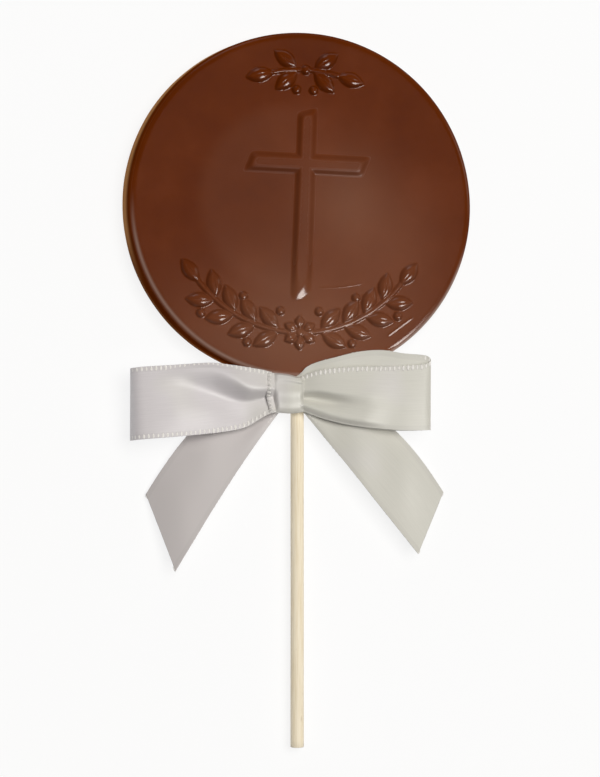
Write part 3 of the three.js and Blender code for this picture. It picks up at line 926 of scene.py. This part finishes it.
def between(top, bottom, across):
    """A grid of points between two edges."""
    return top[:, None, :] * (1 - across)[None, :, None] + bottom[:, None, :] * across[None, :, None]


def edged(count, margin=0.008):
    """Even places from 0 to 1, with one more close to each end to keep the edges crisp."""
    inner = np.linspace(0, 1, count - 2)[1:-1]
    return np.concatenate([[0, margin], inner, [1 - margin, 1]])


def ribbon_loop(loop, columns=43):
    """A loop's grid: heights swing between its edges, shoulder, pleat and ridge."""
    top, bottom = curve_through(loop["top"], LOOP_STEPS), curve_through(loop["bottom"], LOOP_STEPS)
    across = edged(columns)
    grid = between(top, bottom, across)
    folds = np.array(loop["folds"], float).reshape(len(loop["folds"]), -1)
    front = curve_through(folds, LOOP_STEPS)
    for row, (v1, z1, v2, z2, v3, z3) in enumerate(front):
        places = np.array([0, v1, v2, v3, 1])
        heights = np.array([top[row, 2], z1, z2, z3, bottom[row, 2]])
        k = np.clip(np.searchsorted(places, across, side="right") - 1, 0, 3)
        share = smooth((across - places[k]) / (places[k + 1] - places[k]), 0, 1)
        shaped = mix(heights[k], heights[k + 1], share)
        fade = 1 - smooth(row, len(front) - 1 - 1.5 * LOOP_STEPS, len(front) - 1)
        grid[row, :, 2] = mix(grid[row, :, 2], shaped, fade)
    # The far half of the front arches, and the layer behind may lift; both count in edge points
    place = np.arange(len(grid)) / LOOP_STEPS
    arch = LOOP_ARCH * smooth(place, 4, 7) * (1 - smooth(place, 8, 9))
    grid[:, :, 2] += arch[:, None] * np.sin(math.pi * across)[None, :]
    lift, crest = loop["back"]
    behind = lift * smooth(place, 9, 11.5) * (1 - smooth(place, place[-1] - 4.5, place[-1] - 2))
    grid[:, :, 2] += behind[:, None] * hump(across, crest, BACK_LIFT_WIDTH)[None, :]
    return grid


def ribbon_tail(tail, rows=82, columns=35):
    """A tail's grid: gathered at the knot, with a few soft bumps."""
    t, across = edged(rows, 0.003), edged(columns)
    grid = between(bezier(tail["inner"], t), bezier(tail["outer"], t), across)
    along, v = t[:, None], across[None, :]
    grid[:, :, 2] += TAIL_GATHER * (1 - smooth(along, 0.1, 0.45)) * np.sin(3 * math.pi * v)
    for place, side, height in tail["waves"]:
        grid[:, :, 2] += height * hump(along, place, TAIL_WAVE_LENGTH) * hump(v, side, TAIL_WAVE_WIDTH)
    return grid


def turn_of(a, b, c):
    """Above 0 where the way from a over b to c turns left."""
    return (b[0] - a[0]) * (c[1] - a[1]) - (b[1] - a[1]) * (c[0] - a[0])


def loop_profile(grid, x):
    """Height over y of a band pulled partly taut across a loop's front, on the line at x."""
    near_knot = grid[: 5 * LOOP_STEPS]
    rows = [np.abs(near_knot[:, j, 0] - x).argmin() for j in range(near_knot.shape[1])]
    line = near_knot[rows, np.arange(near_knot.shape[1])]
    line = line[np.argsort(line[:, 1])]
    taut = []
    for y, z in line[:, 1:].tolist():
        while len(taut) > 1 and turn_of(taut[-2], taut[-1], (y, z)) >= 0:
            taut.pop()
        taut.append((y, z))
    taut = np.array(taut)

    def height(y):
        lying = np.interp(y, line[:, 1], line[:, 2])
        return mix(lying, np.interp(y, taut[:, 0], taut[:, 1]), TAUTNESS)

    return height


def knot_band(left, right, steps=9, columns=51):
    """The band over the loops' roots: a slim selvage strip, a groove, then the crowned band."""
    ring = curve_through(KNOT_RING + KNOT_RING[:1], steps)
    seam = (ring[:1] + ring[-1:]) / 2
    ring = np.concatenate([seam, ring[1:-1], seam])
    v = edged(columns)[None, :]
    y, z = ring[:, :1], ring[:, 1:]
    out = unit(np.stack([y - KNOT_MIDDLE_Y, z - KNOT_MIDDLE_Z], axis=2))
    lift = KNOT_CROWN * hump(v, 0.62, 0.2) - KNOT_DIP * smooth(v, 0.8, 1.0)
    top_share = smooth(y, -47.5, -44.2)
    y = y + out[:, :, 0] * lift - KNOT_TOP_DROP * top_share * smooth(v, 0.25, 1.0)
    z = z + out[:, :, 1] * lift
    # Over the loops' fronts the band's two sides lie on them
    is_top = smooth(z, 7.6, 9.2)
    edge_strip = EDGE_STRIP_RISE * smooth(v, -0.01, 0.02) - EDGE_GROOVE * hump(v, 0.2, 0.03)
    left_bed = loop_profile(left, KNOT_LEFT + 0.6)(y) + LEFT_BED_GAP + edge_strip
    right_bed = loop_profile(right, KNOT_RIGHT)(y) + RIGHT_BED_GAP
    z = mix(z, left_bed, is_top * (1 - smooth(v, 0.16, 0.3)))
    z = mix(z, right_bed, is_top * smooth(v, 0.88, 1.0))
    x = mix(KNOT_LEFT, KNOT_RIGHT, v) + KNOT_FOOT_SHIFT * smooth(-y, 49, 53.5) * (1 - v)
    return np.stack([x, y, z], axis=2)


def strap_band():
    """The ribbon's turn round the back of the stick, with slight pleats along it."""
    around = np.linspace(0, 2 * math.pi, 65)[:, None]
    across = edged(21)[None, :]
    radius = STRAP_RADIUS + STRAP_PLEAT * np.sin(5 * around) * np.sin(math.pi * across)
    x = radius * np.sin(around)
    y = mix(STRAP_TOP, STRAP_FOOT, across) + 0 * x
    return np.stack([x, y, STICK_AXIS_Z + radius * np.cos(around)], axis=2)


def strip(grid, first_bulk, last_bulk, is_ring=False, has_painted_shade=False):
    """A run of ribbon; a bulk is how high the stitches of that edge are at its start and end."""
    return {
        "grid": grid,
        "bulks": (first_bulk, last_bulk),
        "is_ring": is_ring,
        "has_painted_shade": has_painted_shade,
    }


def unit(vectors):
    return vectors / np.maximum(np.linalg.norm(vectors, axis=-1, keepdims=True), 1e-9)


def grid_frame(grid, is_ring):
    """Unit vectors across and out of a grid of points."""
    if is_ring:
        wrapped = np.concatenate([grid[-2:-1], grid, grid[1:2]])
        along = np.gradient(wrapped, axis=0)[1:-1]
    else:
        along = np.gradient(grid, axis=0)
    across = np.gradient(grid, axis=1)
    return unit(across), unit(np.cross(along, across))


def length_along(line):
    steps = np.linalg.norm(np.diff(line, axis=0), axis=1)
    return np.concatenate([[0], np.cumsum(steps)])


def ribbon_skin(grid, is_ring):
    """A closed thin skin round a grid of points, its place on the flat ribbon and its length."""
    _, normal = grid_frame(grid, is_ring)
    length = length_along(grid[:, grid.shape[1] // 2])
    if is_ring:
        grid, normal = grid[:-1], normal[:-1]
    rows, columns, _ = grid.shape
    upper = grid + normal * RIBBON_THICKNESS / 2
    lower = grid - normal * RIBBON_THICKNESS / 2
    points = np.concatenate([upper.reshape(-1, 3), lower.reshape(-1, 3)])

    def at(i, j, side):
        return (i % rows) * columns + j + side * rows * columns

    faces = []
    for i in range(rows if is_ring else rows - 1):
        for j in range(columns - 1):
            faces.append([at(i, j, 0), at(i + 1, j, 0), at(i + 1, j + 1, 0), at(i, j + 1, 0)])
            faces.append([at(i, j, 1), at(i, j + 1, 1), at(i + 1, j + 1, 1), at(i + 1, j, 1)])
        last = columns - 1
        faces.append([at(i, 0, 0), at(i, 0, 1), at(i + 1, 0, 1), at(i + 1, 0, 0)])
        faces.append([at(i, last, 0), at(i + 1, last, 0), at(i + 1, last, 1), at(i, last, 1)])
    if not is_ring:
        end = rows - 1
        for j in range(columns - 1):
            faces.append([at(0, j, 0), at(0, j + 1, 0), at(0, j + 1, 1), at(0, j, 1)])
            faces.append([at(end, j, 0), at(end, j, 1), at(end, j + 1, 1), at(end, j + 1, 0)])
    u = np.repeat(length[:rows, None], columns, axis=1)
    v = np.repeat(edged(columns)[None, :] * RIBBON_WIDTH, rows, axis=0)
    flat = np.stack([u, v], axis=2).reshape(-1, 2) * MM
    return points, faces, np.concatenate([flat, flat]), length[-1]


def satin_bow(strips, material):
    """The whole bow as one piece of satin, and its running length."""
    points, faces, flats, painted_tail_shade, total = [], [], [], [], 0.0
    for run in strips:
        more, quads, flat, length = ribbon_skin(run["grid"], run["is_ring"])
        start = sum(len(p) for p in points)
        points.append(more)
        faces += [[start + i for i in quad] for quad in quads]
        flats.append(flat)
        painted_tail_shade.append(np.full(len(more), float(run["has_painted_shade"])))
        total += length
    mesh = new_mesh("satin_bow", np.concatenate(points), faces)
    mesh.materials.append(material)
    set_point_values(mesh, "painted_tail_shade", np.concatenate(painted_tail_shade))
    corner = np.zeros(len(mesh.loops), np.int32)
    mesh.loops.foreach_get("vertex_index", corner)
    flat = np.concatenate(flats)[corner].astype(np.float32)
    mesh.uv_layers.new(name="ribbon").data.foreach_set("uv", flat.ravel())
    return new_piece("satin_bow", mesh, "ribbon_bow"), total


def selvage_lines(strips):
    """A mesh of lines along every strip's edges, with the ways into and out of its face and the
    stitches' bulk at each point."""
    points, edges, inward, outward, bulks = [], [], [], [], []
    for run in strips:
        across, normal = grid_frame(run["grid"], run["is_ring"])
        for column, sign, bulk in ((0, 1, run["bulks"][0]), (-1, -1, run["bulks"][1])):
            way_in = across[:, column] * sign
            line = run["grid"][:, column] + way_in * (SELVAGE_WIDTH / 2 - SELVAGE_OVERHANG)
            start = sum(len(p) for p in points)
            points.append(line)
            edges += [(start + i, start + i + 1) for i in range(len(line) - 1)]
            inward.append(way_in)
            outward.append(normal[:, column])
            bulks.append(np.interp(np.linspace(0, 1, len(line)), [0.4, 0.6], bulk))
    mesh = new_mesh("selvage_lines", np.concatenate(points), [], edges)
    for name, values in (("inward", inward), ("outward", outward), ("bulk", bulks)):
        set_point_values(mesh, name, np.concatenate(values))
    return mesh


def stitch_tree(material):
    """Geometry nodes that lay one small raised stitch at every pitch along a line."""
    tree = bpy.data.node_groups.new("selvage_stitches", "GeometryNodeTree")
    sizes = [(name, "Float") for name in ("Pitch", "Length", "Width", "Height")]
    for name, kind in [("Lines", "Geometry"), *sizes, ("Seed", "Int")]:
        tree.interface.new_socket(name, in_out="INPUT", socket_type=f"NodeSocket{kind}")
    tree.interface.new_socket("Stitches", in_out="OUTPUT", socket_type="NodeSocketGeometry")
    given = add_node(tree, "NodeGroupInput").outputs
    curve = add_node(tree, "GeometryNodeMeshToCurve", links={"Mesh": given["Lines"]})
    stops = add_node(
        tree,
        "GeometryNodeResampleCurve",
        {"mode": "LENGTH"},
        links={"Curve": curve.outputs["Curve"], "Length": given["Pitch"]},
    )
    ball = add_node(
        tree, "GeometryNodeMeshUVSphere", values={"Segments": 8, "Rings": 5, "Radius": 0.5}
    )
    inward, outward, bulk = [
        add_node(tree, "GeometryNodeInputNamedAttribute", {"data_type": kind}, {"Name": name})
        for name, kind in (("inward", "FLOAT_VECTOR"), ("outward", "FLOAT_VECTOR"), ("bulk", "FLOAT"))
    ]
    turn = add_node(
        tree,
        "FunctionNodeAxesToRotation",
        {"primary_axis": "X", "secondary_axis": "Z"},
        links={0: inward.outputs["Attribute"], 1: outward.outputs["Attribute"]},
    )
    height = add_node(
        tree,
        "ShaderNodeMath",
        {"operation": "MULTIPLY"},
        links={0: given["Height"], 1: bulk.outputs["Attribute"]},
    )
    size = add_node(
        tree,
        "ShaderNodeCombineXYZ",
        links={"X": given["Length"], "Y": given["Width"], "Z": height.outputs["Value"]},
    )
    # No two stitches are quite the same size
    vary = add_node(
        tree,
        "FunctionNodeRandomValue",
        {"data_type": "FLOAT"},
        values={"Min": 0.85, "Max": 1.12},
        links={"Seed": given["Seed"]},
    )
    varied = add_node(
        tree,
        "ShaderNodeVectorMath",
        {"operation": "SCALE"},
        links={0: size.outputs["Vector"], "Scale": vary.outputs[1]},
    )
    laid = add_node(
        tree,
        "GeometryNodeInstanceOnPoints",
        links={
            "Points": stops.outputs["Curve"],
            "Instance": ball.outputs["Mesh"],
            "Rotation": turn.outputs["Rotation"],
            "Scale": varied.outputs["Vector"],
        },
    )
    real = add_node(
        tree, "GeometryNodeRealizeInstances", links={"Geometry": laid.outputs["Instances"]}
    )
    coloured = add_node(
        tree,
        "GeometryNodeSetMaterial",
        values={"Material": material},
        links={"Geometry": real.outputs["Geometry"]},
    )
    add_node(tree, "NodeGroupOutput", links={"Stitches": coloured.outputs["Geometry"]})
    return tree


def selvage(strips, material):
    """The bound edges of the ribbon: some five hundred stitches as one plain mesh."""
    carrier = in_scene("selvage_lines", selvage_lines(strips))
    tree = stitch_tree(material)
    modifier = carrier.modifiers.new("stitches", "NODES")
    modifier.node_group = tree
    given = {
        "Pitch": STITCH_PITCH * MM,
        "Length": SELVAGE_WIDTH * MM,
        "Width": STITCH_WIDTH * MM,
        "Height": STITCH_HEIGHT * MM,
        "Seed": STITCH_SEED,
    }
    for socket in tree.interface.items_tree:
        if socket.name in given:
            modifier[socket.identifier] = given[socket.name]
    seen = carrier.evaluated_get(bpy.context.evaluated_depsgraph_get())
    stitched = bpy.data.meshes.new_from_object(seen)
    bpy.data.objects.remove(carrier)
    return new_piece("selvage_stitches", stitched)


# Stage, light and camera. The photograph's frame is 600 by 777 pixels.

PHOTO_HEIGHT = 777
MM_PER_PIXEL = 0.26
CAMERA_DISTANCE, SENSOR = 700.0, 36.0
CAMERA_YAW, CAMERA_PITCH = math.radians(9.2), math.radians(1.3)
CAMERA_AIM = np.array([1.3, -47.4, 0.0])
LIGHTS_AIM = Vector((0.0, -0.03, 0.0))
FLOOR_HALF, FLOOR_GAP = 3.0, 0.0002


def floor():
    """A plain pale floor just under the lollipop, with a light of its own that keeps it even."""
    material, _, _ = new_material(
        "opal_light_table",
        {
            "Roughness": 0.9,
            "Base Color": linear("#707070"),
            "Specular IOR Level": 0.2,
            "Emission Color": linear("#ffffff"),
            "Emission Strength": 0.82,
        },
    )
    mesh = bpy.data.meshes.new("card_floor")
    corners = [(x * FLOOR_HALF, y * FLOOR_HALF, 0) for x, y in ((-1, -1), (1, -1), (1, 1), (-1, 1))]
    mesh.from_pydata(corners, [], [(0, 1, 2, 3)])
    mesh.materials.append(material)
    sheet = in_scene("card_floor", mesh)
    sheet.location.z = -FLOOR_GAP


def soft_light(name, direction, distance, size, watts, colour, gives="both"):
    """A square softbox that faces the object and gives soft light, mirrored glints or both."""
    way = Vector(direction).normalized()
    data = bpy.data.lights.new(name, "AREA")
    data.shape = "SQUARE"
    data.size = size
    data.energy = watts
    data.color = linear(colour)[:3]
    light = in_scene(name, data)
    light.location = LIGHTS_AIM + way * distance
    light.rotation_mode = "QUATERNION"
    light.rotation_quaternion = way.to_track_quat("Z", "Y")
    light.visible_glossy = gives != "soft"
    light.visible_diffuse = gives != "glints"


def lights():
    """Directions from the object, then distance and size in metres, watts and colour."""
    soft_light("glint_softbox", (0.455, -0.53, 0.72), 0.9, 0.38, 7.6, "#fffdf9", "glints")
    soft_light("main_softbox", (0.16, 0.15, 1.0), 1.8, 1.1, 31.5, "#fffdf9", "soft")
    soft_light("low_panel", (-0.25, -0.85, 0.45), 1.8, 0.9, 1.0, "#f6f4ff", "soft")
    soft_light("top_panel", (-0.25, 0.95, 0.25), 1.8, 0.7, 2.0, "#f8f9ff")
    soft_light("right_panel", (0.95, 0.3, 0.3), 1.8, 0.7, 1.6, "#fffcf2")
    world = bpy.data.worlds.new("dim_studio")
    world.use_nodes = True
    back = world.node_tree.nodes["Background"]
    back.inputs["Color"].default_value = linear("#f4f4f6")
    back.inputs["Strength"].default_value = 0.02
    bpy.context.scene.world = world


def camera():
    """Looks down on the lollipop at the photograph's angle."""
    data = bpy.data.cameras.new("photo_camera")
    data.sensor_width = SENSOR
    data.lens = CAMERA_DISTANCE / (MM_PER_PIXEL * PHOTO_HEIGHT) * SENSOR
    data.clip_start, data.clip_end = 0.01, 10
    level = math.cos(CAMERA_PITCH)
    back = Vector((-math.sin(CAMERA_YAW) * level, -math.sin(CAMERA_PITCH), math.cos(CAMERA_YAW) * level))
    view = in_scene("photo_camera", data)
    view.location = Vector(CAMERA_AIM * MM) + back * CAMERA_DISTANCE * MM
    right = Vector((0, 1, 0)).cross(back).normalized()
    view.rotation_mode = "QUATERNION"
    view.rotation_quaternion = Matrix((right, back.cross(right), back)).transposed().to_quaternion()
    bpy.context.scene.camera = view


camera()
lights()
floor()
bpy.context.scene.view_settings.view_transform = "Standard"

chocolate_disc(milk_chocolate())
wooden_stick(birch_wood())
left_loop, right_loop = ribbon_loop(LEFT_LOOP), ribbon_loop(RIGHT_LOOP)
strips = [
    strip(left_loop, (1.2, 0.4), (1.1, 0.4)),
    strip(right_loop, (1.3, 0.4), (0.4, 0.4)),
    # Painted shade darkens the left tail
    strip(ribbon_tail(LEFT_TAIL), (0.28, 0.28), (0.28, 0.28), has_painted_shade=True),
    strip(ribbon_tail(RIGHT_TAIL), (0.28, 0.28), (0.28, 0.28)),
    strip(knot_band(left_loop, right_loop), (0.9, 0.9), (0.4, 0.4), is_ring=True),
    strip(strap_band(), (0.4, 0.4), (0.4, 0.4), is_ring=True),
]
bow, ribbon_length = satin_bow(strips, satin())
selvage(strips, selvage_thread())
